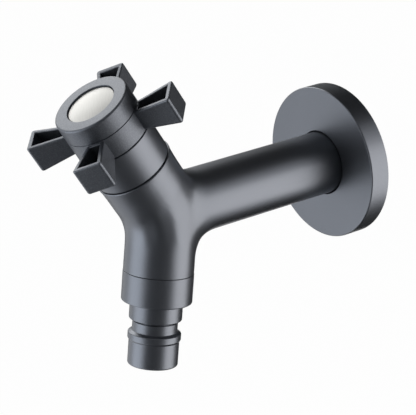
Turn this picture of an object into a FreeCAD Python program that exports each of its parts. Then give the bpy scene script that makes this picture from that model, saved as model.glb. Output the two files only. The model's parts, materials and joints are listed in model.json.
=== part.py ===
import FreeCAD, Part
import math
import os
from types import SimpleNamespace

import Sketcher
from FreeCAD import Placement, Rotation, Vector

# An outdoor wall tap with a quarter-turn cross handle.
# The wall is the plane y = 0, the tap stands out along -Y, and +Z is up.
# Lengths are millimetres and angles degrees.

SIZES = (
    # Layout of the three axes
    ("reach", 84.5, "wall to the point where the three axes meet"),
    ("bonnet_tilt", 30.0, "lean of the valve axis from upright, towards the user"),
    ("outlet_tilt", 10.0, "lean of the outlet from straight down, towards the user"),
    ("arm_angle", 41.3, "turn of the first handle arm about the valve axis"),
    # Valve body outside
    ("barrel_radius", 12.3, "long horizontal barrel"),
    ("barrel_setback", 1.0, "back face of the barrel to the wall plane"),
    ("bonnet_radius", 14.6, "leg that holds the cartridge"),
    ("outlet_radius", 13.2, "leg that points down"),
    ("bend_radius", 29.5, "centre line of the bend between the two legs"),
    ("crotch_round", 5.0, "blend of barrel and bonnet above"),
    ("side_round", 17.0, "blend of barrel and legs at the sides"),
    ("throat_round", 8.5, "blend of barrel and outlet below"),
    ("mouth_level", 22.7, "top face of the body along the valve axis"),
    ("lip_height", 1.2, "raised band at the mouth"),
    ("lip_step", 0.4, "how far the band stands out"),
    ("leg_length", 23.0, "outlet shoulder along the outlet axis"),
    # Inlet tail, half-inch parallel pipe thread
    ("thread_radius", 10.48, "over the crests"),
    ("thread_pitch", 1.814, "fourteen threads to the inch"),
    ("thread_depth", 1.16, "crest to root"),
    ("thread_crest", 0.36, "flat on each crest"),
    ("thread_root_flat", 0.36, "flat at the bottom of each groove"),
    ("thread_grooves", 7, "grooves on the tail"),
    ("tail_bevel", 0.8, "lead-in at the end of the tail"),
    # Water ways in the body
    ("inlet_bore", 7.0, "radius of the bore through tail and barrel"),
    ("inlet_overrun", 2.0, "inlet bore past the meeting point"),
    ("chamber_radius", 10.2, "room round the cartridge"),
    ("seat_level", 8.0, "floor of the chamber along the valve axis"),
    ("seat_bore", 4.0, "radius of the hole in the seat"),
    ("port_radius", 2.6, "each drill of the kidney port"),
    ("port_ring", 9.8, "drill centres from the valve axis"),
    ("port_spread", 24.0, "angle between neighbouring drills"),
    ("port_tilt", 20.0, "lean of the drills from straight down"),
    ("port_length", 22.0, "depth of the drills"),
    ("outlet_bore", 6.8, "radius of the bore in the outlet leg"),
    ("outlet_bore_top", 10.0, "upper end of that bore along the outlet axis"),
    # Outlet collar, washer and hose nipple
    ("spigot_radius", 11.8, "threaded end under the leg"),
    ("spigot_length", 5.0, "its length below the shoulder"),
    ("thread_play", 0.05, "radial play of a screwed joint"),
    ("seam", 0.15, "open line between leg and collar"),
    ("collar_radius", 13.28, "round union nut"),
    ("collar_height", 11.4, "shoulder to the collar's foot"),
    ("collar_lip", 3.0, "inward lip that holds the nipple"),
    ("collar_round", 0.6, "lower outer edge of the collar"),
    ("washer_height", 1.5, "flat washer on the nipple"),
    ("washer_bore", 7.2, "hole in that washer"),
    ("nipple_play", 0.25, "nipple in the collar's lip"),
    ("nipple_flange", 11.4, "head of the nipple above the lip"),
    ("nipple_bore", 6.5, "water way of the nipple"),
    ("step_radius", 9.94, "upper cylinder of the nipple"),
    ("step_height", 7.3, "its height below the collar"),
    ("step_round", 0.5, "its lower edge"),
    ("neck_radius", 8.53, "latching neck"),
    ("neck_height", 3.7, "straight part of the neck"),
    ("ridge_radius", 10.01, "latching ridge"),
    ("ridge_slope", 1.1, "cone above the ridge"),
    ("ridge_height", 2.3, "straight part of the ridge"),
    ("ridge_fall", 0.6, "cone below the ridge"),
    ("nose_radius", 9.49, "lowest cylinder"),
    ("nose_height", 9.5, "its height"),
    ("nose_round", 1.5, "edge of the mouth"),
    # Seat seal and ceramic discs
    ("seal_height", 2.0, "rubber seat seal"),
    ("seal_radius", 6.9, "outside of the seal"),
    ("seal_bore", 4.3, "hole in the seal"),
    ("disc_radius", 6.9, "both ceramic discs"),
    ("fixed_disc_height", 2.6, "lower disc"),
    ("turning_disc_height", 2.4, "upper disc"),
    ("disc_film", 0.02, "water film between the discs"),
    ("window_inner", 1.6, "small radius of the disc windows"),
    ("window_outer", 5.4, "large radius of the disc windows"),
    ("window_span", 76.0, "angle of each disc window"),
    ("notch_depth", 1.2, "drive notches in the upper disc"),
    ("notch_inner", 5.7, "inner radius of the notches"),
    ("prong_play", 0.1, "prong in its notch"),
    ("prong_span", 24.0, "angle of each driving prong"),
    ("notch_play", 2.0, "angle of a notch beyond its prong"),
    # Cartridge housing
    ("sleeve_radius", 8.4, "lower sleeve round the discs"),
    ("sleeve_lift", 0.6, "sleeve above the seat"),
    ("cavity_radius", 7.05, "room for discs and carrier"),
    ("flow_gap", 3.2, "height of the side windows' room"),
    ("side_window", 1.4, "radius of the four side windows"),
    ("screw_height", 4.0, "threaded band in the mouth"),
    ("gasket_height", 1.0, "gasket under the hexagon"),
    ("gasket_radius", 12.2, "outside of the gasket"),
    ("hex_flats", 22.0, "hexagon across the flats"),
    ("hex_height", 3.4, "height of the hexagon"),
    ("neck_outer", 8.0, "upper neck of the housing"),
    ("neck_recess", 0.3, "neck below the cover's top"),
    ("stop_depth", 3.0, "room for the stop ring"),
    ("stop_radius", 7.0, "outer wall of that room"),
    ("stop_inner", 5.7, "inner face of the stop block"),
    ("quarter_turn", 90.0, "travel of the handle"),
    ("stop_margin", 2.0, "angle left at each stop"),
    # Spindle and what rides on it
    ("shank_radius", 5.0, "spindle in the housing"),
    ("shank_play", 0.05, "running clearance round the spindle"),
    ("carrier_radius", 6.9, "driving flange"),
    ("carrier_height", 2.2, "its height"),
    ("axial_play", 0.05, "end play of the spindle"),
    ("thrust_height", 0.6, "thrust washer"),
    ("thrust_radius", 6.8, "outside of the thrust washer"),
    ("thrust_bore_play", 0.1, "thrust washer round the spindle"),
    ("ring_section", 0.8, "radius of an O-ring's section"),
    ("ring_groove", 2.0, "width of an O-ring groove"),
    ("lower_ring", 4.0, "first O-ring above the shoulder"),
    ("ring_spacing", 4.5, "between the two O-rings"),
    ("upper_radius", 4.2, "spindle above the shank"),
    ("upper_flats", 7.0, "flats for the stop ring"),
    ("stop_ring_radius", 5.4, "stop ring outside"),
    ("stop_ring_height", 1.5, "its height"),
    ("stop_ring_play", 0.05, "stop ring on the flats"),
    ("lug_radius", 6.8, "tip of the stop lug"),
    ("lug_span", 30.0, "angle of the stop lug"),
    ("clip_height", 0.7, "retaining clip"),
    ("clip_outer", 5.3, "its outside"),
    ("clip_bed", 3.6, "bottom of its groove"),
    ("clip_gap", 60.0, "opening of the clip"),
    ("flat_key", 3.5, "width of the stop ring's keys on the flats"),
    # Spline and bush
    ("spline_lift", 0.75, "foot of the spline above the hub's foot"),
    ("spline_radius", 4.0, "over the teeth"),
    ("spline_root", 3.5, "bottom of the tooth spaces"),
    ("spline_space", 0.55, "half width of a tooth space"),
    ("spline_teeth", 20, "teeth of the spline"),
    ("spline_play", 0.08, "bush on the spline"),
    ("bush_radius", 6.0, "bush in the handle's web"),
    ("bush_play", 0.05, "that bush in its hole"),
    ("bush_flange", 8.0, "flange under the web"),
    ("bush_flange_height", 1.4, "its thickness"),
    # Cartridge cover
    ("cover_radius", 14.5, "plain sleeve above the body"),
    ("cover_height", 14.6, "body to the sleeve's top"),
    ("cover_wall", 1.5, "side wall"),
    ("cover_web", 2.0, "top web"),
    ("cover_boss", 10.2, "screwed boss inside"),
    ("cover_boss_depth", 5.0, "boss below the web"),
    ("shadow_height", 0.5, "groove at the sleeve's foot"),
    ("shadow_depth", 0.8, "depth of that groove"),
    ("cover_bevel", 0.3, "upper outer edge"),
    # Cross handle
    ("handle_gap", 0.3, "open line under the handle"),
    ("hub_radius", 14.42, "hub and cap"),
    ("hub_height", 8.6, "hub up to the cap"),
    ("hub_recess", 12.4, "open room below and above the web"),
    ("web_depth", 3.0, "web above the hub's foot"),
    ("web_height", 3.6, "thickness of the web"),
    ("arm_root", 13.6, "where an arm leaves the hub's wall"),
    ("arm_tip", 28.9, "end face of an arm"),
    ("arm_root_half", 3.1, "half width at the root"),
    ("arm_tip_half", 5.65, "half width at the tip"),
    ("arm_root_drop", 0.35, "arm's top below the hub's top, at the root"),
    ("arm_tip_rise", 1.7, "arm's top above the hub's top, at the tip"),
    ("arm_tip_drop", 1.35, "arm's foot below the hub's foot, at the tip"),
    ("arm_wall", 1.4, "walls of the arm"),
    ("arm_floor", 1.6, "floor of the arm"),
    ("arm_hub_wall", 0.68, "hub to the inner end of the arm's pocket"),
    ("arm_round", 0.9, "outer edges of the arm"),
    ("arm_rim_round", 0.2, "inner edge of the pocket's rim"),
    # Screw, washer, cap and index
    ("screw_radius", 1.95, "handle screw"),
    ("screw_depth", 8.0, "screw below the washer"),
    ("screw_hole_depth", 9.5, "tapped hole in the spindle"),
    ("screw_play", 0.05, "screw in its thread"),
    ("screw_head", 3.5, "radius of the head"),
    ("screw_head_height", 3.6, "height of the head"),
    ("screw_head_bevel", 0.36, "upper edge of the head"),
    ("screw_socket", 3.0, "hexagon socket across the flats"),
    ("socket_depth", 2.0, "depth of the socket"),
    ("flat_washer", 7.8, "washer on the web"),
    ("flat_washer_bore", 2.2, "its hole"),
    ("flat_washer_height", 0.8, "its thickness"),
    ("spindle_short", 0.4, "spindle below the web's top"),
    ("cap_height", 7.3, "hub to the top of the cap"),
    ("cap_round", 0.7, "upper edge of the cap"),
    ("cap_seam", 0.2, "bevels of the line between hub and cap"),
    ("cap_spigot", 12.3, "part of the cap inside the hub"),
    ("cap_spigot_length", 1.2, "its length"),
    ("cap_room", 10.6, "hollow of the cap"),
    ("cap_floor", 1.7, "web under the index"),
    ("cap_ring_section", 0.35, "snap ring's section radius"),
    ("index_recess", 0.65, "index below the cap's face"),
    ("index_radius", 9.3, "round index plate"),
    ("index_play", 0.1, "index in the cap"),
    ("index_height", 1.3, "thickness at the edge"),
    ("index_dish", 0.2, "hollow of its face"),
    ("index_bevel", 0.25, "bright edge of the plate"),
    ("index_rim", 0.75, "edge of the plate to its hollow"),
    ("stem_radius", 4.4, "snap stem of the index"),
    ("stem_wall", 0.8, "wall of the stem"),
    ("stem_play", 0.1, "stem in the cap's hole"),
    ("barb_step", 0.35, "barb beyond the hole"),
    ("barb_height", 0.6, "height of the barb"),
    # Escutcheon and its grip ring
    ("escutcheon_radius", 30.0, "round wall plate"),
    ("escutcheon_depth", 8.43, "its depth from the wall"),
    ("escutcheon_wall", 1.6, "front and rim"),
    ("escutcheon_bevel", 0.35, "front outer edge"),
    ("escutcheon_play", 0.3, "hole round the barrel"),
    ("escutcheon_boss", 3.2, "wall of the central boss"),
    ("escutcheon_boss_gap", 1.2, "boss short of the wall"),
    ("grip_section", 1.0, "radius of the grip ring's section"),
    ("grip_play", 0.05, "grip ring round the barrel"),
    ("grip_depth", 4.2, "grip ring behind the front face"),
)

doc = FreeCAD.newDocument("garden_tap")
sheet = doc.addObject("Spreadsheet::Sheet", "sizes")
for line, (name, number, meaning) in enumerate(SIZES, start=1):
    sheet.set("A%d" % line, name)
    sheet.set("B%d" % line, str(number))
    sheet.setAlias("B%d" % line, name)
    sheet.set("C%d" % line, meaning)
doc.recompute()


class Size:
    """A number together with the sheet's expression for it."""

    def __init__(self, value, text):
        self.value = value
        self.text = text

    def __add__(self, other):
        other = as_size(other)
        return Size(self.value + other.value, "(%s + %s)" % (self.text, other.text))

    def __sub__(self, other):
        other = as_size(other)
        return Size(self.value - other.value, "(%s - %s)" % (self.text, other.text))

    def __mul__(self, other):
        other = as_size(other)
        return Size(self.value * other.value, "(%s * %s)" % (self.text, other.text))

    def __truediv__(self, other):
        other = as_size(other)
        return Size(self.value / other.value, "(%s / %s)" % (self.text, other.text))

    def __neg__(self):
        return Size(-self.value, "(-1 * %s)" % self.text)

    def __radd__(self, other):
        return as_size(other) + self

    def __rsub__(self, other):
        return as_size(other) - self

    __rmul__ = __mul__


def as_size(number):
    if isinstance(number, Size):
        return number
    return Size(float(number), "%.9g" % number)


def sine(angle):
    return Size(math.sin(math.radians(angle.value)), "sin(%s * 1 deg)" % angle.text)


def cosine(angle):
    return Size(math.cos(math.radians(angle.value)), "cos(%s * 1 deg)" % angle.text)


def tangent(angle):
    return Size(math.tan(math.radians(angle.value)), "tan(%s * 1 deg)" % angle.text)


mm = SimpleNamespace(**{name: Size(float(sheet.get(name)), "sizes." + name) for name, _, _ in SIZES})

ALONG_X = Vector(1, 0, 0)
ALONG_Z = Vector(0, 0, 1)
MEETING = Vector(0, -mm.reach.value, 0)

# Local +Z of each frame runs along the axis that its pieces are turned about
valve_frame = Placement(MEETING, Rotation(ALONG_X, mm.bonnet_tilt.value))
outlet_frame = Placement(MEETING, Rotation(ALONG_X, 180 - mm.outlet_tilt.value))
wall_frame = Placement(Vector(), Rotation(ALONG_X, 90))
tail_frame = Placement(Vector(0, -mm.barrel_setback.value, 0), Rotation(ALONG_X, -90))
handle_frame = valve_frame.multiply(Placement(Vector(), Rotation(ALONG_Z, mm.arm_angle.value)))

# Levels along the valve axis
seal_top = mm.seat_level + mm.seal_height
fixed_top = seal_top + mm.fixed_disc_height
turning_foot = fixed_top + mm.disc_film
turning_top = turning_foot + mm.turning_disc_height
carrier_foot = turning_top + mm.flow_gap
carrier_top = carrier_foot + mm.carrier_height
thrust_foot = carrier_top + mm.axial_play
shoulder = thrust_foot + mm.thrust_height
hex_foot = mm.mouth_level + mm.gasket_height
hex_top = hex_foot + mm.hex_height
cover_top = mm.mouth_level + mm.cover_height
housing_top = cover_top - mm.neck_recess
stop_floor = housing_top - mm.stop_depth
stop_ring_foot = stop_floor + mm.axial_play
clip_foot = stop_ring_foot + mm.stop_ring_height
clip_top = clip_foot + mm.clip_height
hub_foot = cover_top + mm.handle_gap
hub_top = hub_foot + mm.hub_height
web_foot = hub_foot + mm.web_depth
web_top = web_foot + mm.web_height
spindle_top = web_top - mm.spindle_short
washer_top = web_top + mm.flat_washer_height
cap_top = hub_top + mm.cap_height
index_top = cap_top - mm.index_recess
index_foot = index_top - mm.index_height
cap_floor_foot = index_foot - mm.cap_floor

# Levels along the outlet axis, measured downwards
spigot_foot = mm.leg_length + mm.spigot_length
flange_top = spigot_foot + mm.washer_height
collar_foot = mm.leg_length + mm.collar_height
flange_foot = collar_foot - mm.collar_lip
step_foot = collar_foot + mm.step_height
neck_foot = step_foot + mm.neck_height
ridge_top = neck_foot + mm.ridge_slope
ridge_foot = ridge_top + mm.ridge_height
nose_top = ridge_foot + mm.ridge_fall
nose_foot = nose_top + mm.nose_height

CUT = 1.0


def bind(thing, name, size):
    """Tie one property of a feature to the sheet."""
    thing.setExpression(name, as_size(size).text)


def origin_part(body, role):
    return next(part for part in body.Origin.OriginFeatures if part.Role == role)


def new_body(label, frame):
    body = doc.addObject("PartDesign::Body", label)
    body.Placement = frame
    return body


def new_sketch(body, name, plane, offset=0):
    sketch = body.newObject("Sketcher::SketchObject", name)
    sketch.AttachmentSupport = [(origin_part(body, plane), "")]
    sketch.MapMode = "FlatFace"
    if isinstance(offset, Size):
        bind(sketch, "AttachmentOffset.Base.z", offset)
    return sketch


def fix_point(sketch, edge, end, point):
    """Hold one end of an edge at its place, measured from the sketch's origin."""
    for kind, axis, size in (("DistanceX", -2, point[0]), ("DistanceY", -1, point[1])):
        size = as_size(size)
        if size.value == 0:
            sketch.addConstraint(Sketcher.Constraint("PointOnObject", edge, end, axis))
            continue
        index = sketch.addConstraint(Sketcher.Constraint(kind, -1, 1, edge, end, size.value))
        bind(sketch, "Constraints[%d]" % index, size)


def draw_outline(sketch, corners):
    """A closed outline, anticlockwise. A corner may add the radius of an arc to the next one,
    positive where the arc bulges outwards and negative where it is hollow."""
    ends = []
    for place, corner in enumerate(corners):
        following = corners[(place + 1) % len(corners)]
        start = Vector(as_size(corner[0]).value, as_size(corner[1]).value, 0)
        stop = Vector(as_size(following[0]).value, as_size(following[1]).value, 0)
        if len(corner) == 2:
            ends.append((sketch.addGeometry(Part.LineSegment(start, stop)), 1, 2))
            continue
        radius = as_size(corner[2])
        hollow = radius.value < 0
        first, last = (stop, start) if hollow else (start, stop)
        chord = last - first
        sagitta = math.sqrt(max(radius.value ** 2 - (chord.Length / 2) ** 2, 0))
        middle = (first + last) / 2
        centre = middle + Vector(-chord.y, chord.x, 0).normalize() * sagitta
        begin = math.atan2(first.y - centre.y, first.x - centre.x)
        end = math.atan2(last.y - centre.y, last.x - centre.x)
        circle = Part.Circle(centre, ALONG_Z, abs(radius.value))
        edge = sketch.addGeometry(Part.ArcOfCircle(circle, begin, end))
        index = sketch.addConstraint(Sketcher.Constraint("Radius", edge, abs(radius.value)))
        bind(sketch, "Constraints[%d]" % index, -radius if hollow else radius)
        ends.append((edge, 2, 1) if hollow else (edge, 1, 2))
    for place, (edge, start, stop) in enumerate(ends):
        after = ends[(place + 1) % len(ends)]
        sketch.addConstraint(Sketcher.Constraint("Coincident", edge, stop, after[0], after[1]))
        fix_point(sketch, edge, start, corners[place])


def draw_circle(sketch, radius, height=0):
    """A circle centred on the sketch's upright axis."""
    height = as_size(height)
    circle = sketch.addGeometry(Part.Circle(Vector(0, height.value, 0), ALONG_Z, radius.value))
    fix_point(sketch, circle, 3, (0, height))
    index = sketch.addConstraint(Sketcher.Constraint("Radius", circle, radius.value))
    bind(sketch, "Constraints[%d]" % index, radius)


def turned(label, corners, frame):
    """A solid of revolution from (radius, level) corners."""
    body = new_body(label, frame)
    sketch = new_sketch(body, label + "_profile", "XZ_Plane")
    draw_outline(sketch, corners)
    turning = body.newObject("PartDesign::Revolution", label + "_turning")
    turning.Profile = sketch
    turning.ReferenceAxis = (sketch, ["V_Axis"])
    turning.Angle = 360
    return body


def ring(label, inner, outer, foot, top, frame):
    """A flat ring, or a disc when inner is zero."""
    return turned(label, [(inner, foot), (outer, foot), (outer, top), (inner, top)], frame)


def around(body, feature, name, count, angle=360.0):
    """Repeat a feature about the body's own axis."""
    doc.recompute()
    pattern = body.newObject("PartDesign::PolarPattern", name)
    pattern.Originals = [feature]
    pattern.Axis = (origin_part(body, "Z_Axis"), [""])
    pattern.Angle = angle
    if isinstance(count, Size):
        bind(pattern, "Occurrences", count)
    else:
        pattern.Occurrences = count
    body.Tip = pattern
    return pattern


def pad(body, name, corners, foot, height):
    sketch = new_sketch(body, name + "_outline", "XY_Plane", as_size(foot))
    draw_outline(sketch, corners)
    feature = body.newObject("PartDesign::Pad", name)
    feature.Profile = sketch
    bind(feature, "Length", height)
    body.Tip = feature
    return feature


def pocket(body, name, corners, top, depth):
    """Cut downwards from the level given."""
    sketch = new_sketch(body, name + "_outline", "XY_Plane", as_size(top))
    draw_outline(sketch, corners)
    feature = body.newObject("PartDesign::Pocket", name)
    feature.Profile = sketch
    bind(feature, "Length", depth)
    body.Tip = feature
    return feature


def sector(inner, outer, span, middle=0):
    """Corners of a ring sector, span degrees wide, about the direction middle."""
    directions = [middle - span / 2, as_size(middle), middle + span / 2]
    corners = [(outer * cosine(angle), outer * sine(angle), outer) for angle in directions]
    corners += [(inner * cosine(angle), inner * sine(angle), -inner) for angle in reversed(directions)]
    corners[2] = corners[2][:2]
    corners[5] = corners[5][:2]
    return corners


def hexagon(flats):
    reach = flats / (2 * cosine(as_size(30)))
    return [(reach * cosine(as_size(60 * side)), reach * sine(as_size(60 * side))) for side in range(6)]


def joined(label, pieces):
    union = doc.addObject("Part::MultiFuse", label)
    union.Shapes = pieces
    union.Refine = True
    return union


def without(label, base, tool):
    cut = doc.addObject("Part::Cut", label)
    cut.Base = base
    cut.Tool = tool
    return cut


def torus(label, radius, section, level, frame):
    """An O-ring at one level of its axis."""
    body = new_body(label, frame)
    feature = body.newObject("PartDesign::AdditiveTorus", label + "_section")
    bind(feature, "Radius1", radius)
    bind(feature, "Radius2", section)
    bind(feature, "Placement.Base.z", level)
    body.Tip = feature
    return body


# Valve body: two legs, the bend between them and the barrel, blended where they meet
turn = mm.bonnet_tilt + mm.outlet_tilt
leg_start = mm.bend_radius * tangent(turn / 2)
bonnet_leg = ring("bonnet_leg", 0, mm.bonnet_radius, leg_start, mm.mouth_level, valve_frame)
outlet_leg = turned("outlet_leg", [
    (0, leg_start),
    (mm.outlet_radius, leg_start),
    (mm.outlet_radius, mm.leg_length - mm.seam),
    (mm.outlet_radius - mm.seam, mm.leg_length),
    (0, mm.leg_length)], outlet_frame)
barrel = ring("barrel", 0, mm.barrel_radius, mm.barrel_setback, mm.reach, wall_frame)


def bend_section(label, radius, frame):
    circle = doc.addObject("Part::Circle", label)
    bind(circle, "Radius", radius)
    circle.Placement = frame.multiply(Placement(Vector(0, 0, leg_start.value), Rotation()))
    return circle


bend_top = bend_section("bend_top", mm.bonnet_radius, valve_frame)
bend_foot = bend_section("bend_foot", mm.outlet_radius, outlet_frame)
bend_line = doc.addObject("Part::Circle", "bend_line")
bind(bend_line, "Radius", mm.bend_radius)
bend_line.Angle1 = 0
bind(bend_line, "Angle2", turn)
# The arc lies in the upright plane of the axes, with its centre in front of them
bend_centre = valve_frame.multVec(Vector(0, -mm.bend_radius.value, leg_start.value))
upright = Rotation(Vector(0, 1, 0), Vector(0, 0, 1), ALONG_X, "XYZ")
bend_line.Placement = Placement(bend_centre, upright.multiply(Rotation(ALONG_Z, -mm.outlet_tilt.value)))
bend = doc.addObject("Part::Sweep", "bend")
bend.Sections = [bend_foot, bend_top]
bend.Spine = (bend_line, ["Edge1"])
bend.Solid = True
yoke = joined("yoke", [joined("legs", [bend, bonnet_leg, outlet_leg]), barrel])
doc.recompute()

# One half is rounded and then mirrored, so that the blend changes alike on both sides
span = mm.reach + mm.mouth_level + mm.leg_length + mm.bonnet_radius
half_room = doc.addObject("Part::Box", "half_room")
for side in ("Length", "Width", "Height"):
    bind(half_room, side, span * 2)
for shift in ("y", "z"):
    bind(half_room, "Placement.Base." + shift, span * -1)
half_yoke = doc.addObject("Part::Common", "half_yoke")
half_yoke.Base = yoke
half_yoke.Tool = half_room
doc.recompute()


def blend_round(point):
    """Radius of the blend at a point, by how far it lies from the barrel's side."""
    outer = mm.crotch_round if point.z > 0 else mm.throat_round
    share = abs(math.atan2(point.z, point.x)) / math.radians(90)
    return mm.side_round.value * (1 - share) + outer.value * share


rounded_half = doc.addObject("Part::Fillet", "rounded_half")
rounded_half.Base = half_yoke
rounds = []
for number, edge in enumerate(half_yoke.Shape.Edges, start=1):
    start, middle, stop = [edge.valueAt(place) for place in (
        edge.FirstParameter, (edge.FirstParameter + edge.LastParameter) / 2, edge.LastParameter)]
    off_barrel = abs(math.hypot(middle.x, middle.z) - mm.barrel_radius.value)
    if off_barrel > 0.001 or isinstance(edge.Curve, Part.Line) or middle.y > -mm.reach.value / 2:
        continue
    rounds.append((number, blend_round(start), blend_round(stop)))
rounded_half.Edges = rounds
other_half = doc.addObject("Part::Mirroring", "other_half")
other_half.Source = rounded_half
other_half.Normal = ALONG_X
branch = joined("branch", [rounded_half, other_half])

lip_radius = mm.bonnet_radius + mm.lip_step
lip_foot = mm.mouth_level - mm.lip_height
mouth_lip = turned("mouth_lip", [
    (0, lip_foot - mm.lip_step),
    (mm.bonnet_radius, lip_foot - mm.lip_step),
    (lip_radius, lip_foot),
    (lip_radius, mm.mouth_level - mm.lip_step / 2, mm.lip_step / 2),
    (lip_radius - mm.lip_step / 2, mm.mouth_level),
    (0, mm.mouth_level)], valve_frame)

thread_end = mm.thread_crest + mm.thread_pitch * (mm.thread_grooves + 1)
tail = turned("tail", [
    (0, -mm.barrel_setback),
    (mm.thread_radius, -mm.barrel_setback),
    (mm.thread_radius, thread_end - mm.tail_bevel),
    (mm.thread_radius - mm.tail_bevel, thread_end),
    (0, thread_end)], tail_frame)
thread_root = mm.thread_radius - mm.thread_depth
root_half = mm.thread_root_flat / 2
space_half = (mm.thread_pitch - mm.thread_crest) / 2
groove_middle = mm.thread_crest + space_half
thread_sketch = new_sketch(tail, "thread_space", "XZ_Plane")
draw_outline(thread_sketch, [
    (thread_root, groove_middle - root_half),
    (mm.thread_radius, groove_middle - space_half),
    (mm.thread_radius + CUT, groove_middle - space_half),
    (mm.thread_radius + CUT, groove_middle + space_half),
    (mm.thread_radius, groove_middle + space_half),
    (thread_root, groove_middle + root_half)])
thread_groove = tail.newObject("PartDesign::Groove", "thread_groove")
thread_groove.Profile = thread_sketch
thread_groove.ReferenceAxis = (thread_sketch, ["V_Axis"])
thread_groove.Angle = 360
doc.recompute()
thread_pattern = tail.newObject("PartDesign::LinearPattern", "thread_pattern")
thread_pattern.Originals = [thread_groove]
thread_pattern.Direction = (origin_part(tail, "Z_Axis"), [""])
bind(thread_pattern, "Length", mm.thread_pitch * (mm.thread_grooves - 1))
bind(thread_pattern, "Occurrences", mm.thread_grooves)
tail.Tip = thread_pattern

spigot = ring("spigot", 0, mm.spigot_radius, mm.leg_length - CUT, spigot_foot, outlet_frame)
casting = joined("casting", [branch, mouth_lip, tail, spigot])

inlet_way = ring("inlet_way", 0, mm.inlet_bore, 0, mm.reach + mm.inlet_overrun, wall_frame)
tail_way = ring("tail_way", 0, mm.inlet_bore, -CUT, thread_end + CUT, tail_frame)
chamber = ring("chamber", 0, mm.chamber_radius, mm.seat_level, mm.mouth_level + CUT, valve_frame)
seat_way = ring("seat_way", 0, mm.seat_bore, 0, mm.seat_level + CUT, valve_frame)
outlet_way = ring("outlet_way", 0, mm.outlet_bore, mm.outlet_bore_top, spigot_foot + CUT, outlet_frame)
ports = []
for step in (-1, 0, 1):
    aside = math.radians(step * mm.port_spread.value)
    local = Vector(math.sin(aside), -math.cos(aside), 0) * mm.port_ring.value
    start = valve_frame.multVec(local + ALONG_Z * mm.seat_level.value)
    port_frame = Placement(start, Rotation(ALONG_X, 180 + mm.port_tilt.value))
    ports.append(ring("port_%d" % (step + 2), 0, mm.port_radius, -CUT, mm.port_length, port_frame))
water_ways = joined("water_ways", [inlet_way, tail_way, chamber, seat_way, outlet_way] + ports)
valve_body = without("valve_body", casting, water_ways)

# Outlet collar, washer and hose nipple
collar_thread = mm.spigot_radius + mm.thread_play
collar_hole = mm.step_radius + mm.nipple_play
outlet_collar = turned("outlet_collar", [
    (collar_thread, mm.leg_length + mm.seam),
    (mm.collar_radius - mm.seam, mm.leg_length + mm.seam),
    (mm.collar_radius, mm.leg_length + mm.seam * 2),
    (mm.collar_radius, collar_foot - mm.collar_round, mm.collar_round),
    (mm.collar_radius - mm.collar_round, collar_foot),
    (collar_hole, collar_foot),
    (collar_hole, flange_foot),
    (collar_thread, flange_foot)], outlet_frame)

outlet_washer = ring("outlet_washer", mm.washer_bore, mm.nipple_flange,
                     spigot_foot, flange_top, outlet_frame)

hose_nipple = turned("hose_nipple", [
    (mm.nipple_bore, flange_top),
    (mm.nipple_flange, flange_top),
    (mm.nipple_flange, flange_foot),
    (mm.step_radius, flange_foot),
    (mm.step_radius, step_foot - mm.step_round, mm.step_round),
    (mm.step_radius - mm.step_round, step_foot),
    (mm.neck_radius, step_foot),
    (mm.neck_radius, neck_foot),
    (mm.ridge_radius, ridge_top),
    (mm.ridge_radius, ridge_foot),
    (mm.nose_radius, nose_top),
    (mm.nose_radius, nose_foot - mm.nose_round, mm.nose_round),
    (mm.nose_radius - mm.nose_round, nose_foot),
    (mm.nipple_bore, nose_foot)], outlet_frame)

# Seat seal and ceramic discs
seat_seal = ring("seat_seal", mm.seal_bore, mm.seal_radius, mm.seat_level, seal_top, valve_frame)


def disc_windows(body, top, height, middle):
    """Two opposite windows through a ceramic disc."""
    doc.recompute()
    corners = sector(mm.window_inner, mm.window_outer, mm.window_span, middle)
    window = pocket(body, body.Label + "_window", corners, top, height + CUT)
    return around(body, window, body.Label + "_windows", 2)


fixed_disc = ring("fixed_ceramic_disc", 0, mm.disc_radius, seal_top, fixed_top, valve_frame)
disc_windows(fixed_disc, fixed_top, mm.fixed_disc_height, mm.arm_angle)

turning_disc = ring("turning_ceramic_disc", 0, mm.disc_radius, turning_foot, turning_top, handle_frame)
disc_windows(turning_disc, turning_top, mm.turning_disc_height, 90)
notch = sector(mm.notch_inner, mm.disc_radius + CUT, mm.prong_span + mm.notch_play)
drive_notch = pocket(turning_disc, "drive_notch", notch, turning_top, mm.notch_depth)
around(turning_disc, drive_notch, "drive_notches", 2)

# Cartridge housing: sleeve round the discs, threaded band, hexagon, neck and stop block
sleeve_foot = mm.seat_level + mm.sleeve_lift
band_foot = mm.mouth_level - mm.screw_height
shank_bore = mm.shank_radius + mm.shank_play
housing = turned("cartridge_housing", [
    (mm.cavity_radius, sleeve_foot),
    (mm.sleeve_radius, sleeve_foot),
    (mm.sleeve_radius, band_foot),
    (mm.chamber_radius - mm.thread_play, band_foot),
    (mm.chamber_radius - mm.thread_play, hex_foot),
    (mm.neck_outer, hex_foot),
    (mm.neck_outer, housing_top),
    (mm.stop_radius, housing_top),
    (mm.stop_radius, stop_floor),
    (shank_bore, stop_floor),
    (shank_bore, shoulder),
    (mm.cavity_radius, shoulder)], valve_frame)
hex_corners = hexagon(mm.hex_flats)
hex_sketch = new_sketch(housing, "hexagon_outline", "XY_Plane", hex_foot)
draw_outline(hex_sketch, hex_corners)
draw_circle(hex_sketch, (mm.neck_outer + shank_bore) / 2)
hex_pad = housing.newObject("PartDesign::Pad", "hexagon")
hex_pad.Profile = hex_sketch
bind(hex_pad, "Length", mm.hex_height)
housing.Tip = hex_pad
window_sketch = new_sketch(housing, "side_window_outline", "XZ_Plane")
draw_circle(window_sketch, mm.side_window, (turning_top + carrier_foot) / 2)
side_window = housing.newObject("PartDesign::Pocket", "side_window")
side_window.Profile = window_sketch
side_window.SideType = "Symmetric"
bind(side_window, "Length", mm.chamber_radius * 2)
housing.Tip = side_window
around(housing, side_window, "side_windows", 2, 90)
free_span = mm.quarter_turn + mm.lug_span + mm.stop_margin * 2
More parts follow.
